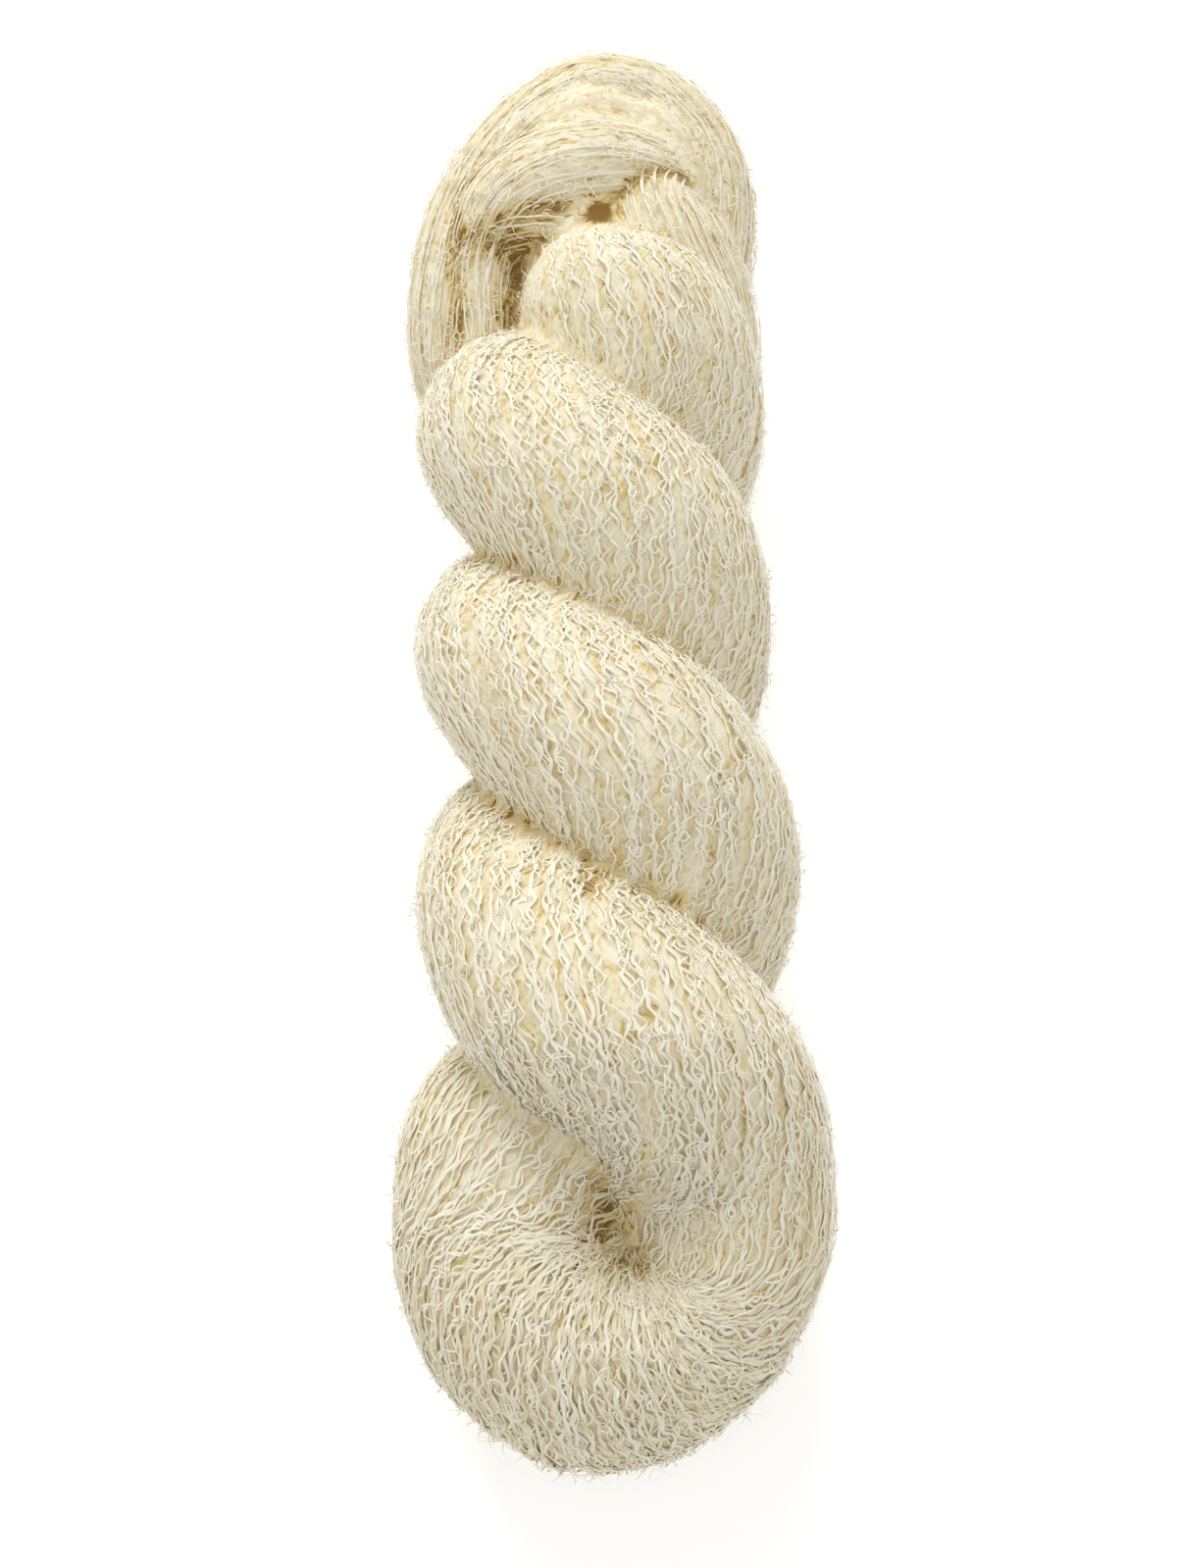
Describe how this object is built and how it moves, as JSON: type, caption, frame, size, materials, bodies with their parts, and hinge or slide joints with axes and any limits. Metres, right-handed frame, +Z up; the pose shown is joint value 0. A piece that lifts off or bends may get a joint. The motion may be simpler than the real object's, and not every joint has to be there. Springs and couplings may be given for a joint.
{
  "type": "twisted hank of boucle yarn",
  "caption": "Cream boucle yarn wound as a hank: a skein twisted, folded to ply on itself and locked by its end loop, lying on a surface.",
  "frame": {"origin": "on the surface that the hank lies on, under the middle of its bounding box", "axes": "+Y along the hank from its folded end towards the end that is locked by the loop, +Z up, +X across it to the right as seen from the folded end"},
  "size_m": [0.09, 0.3253, 0.0768],
  "materials": {
    "boucle_yarn": "matte, undyed cream wool with small curls, soft fuzz and darker straw-coloured hollows between strands"
  },
  "bodies": {
    "root": {"hank": "boucle_yarn"}
  },
  "joints": []
}
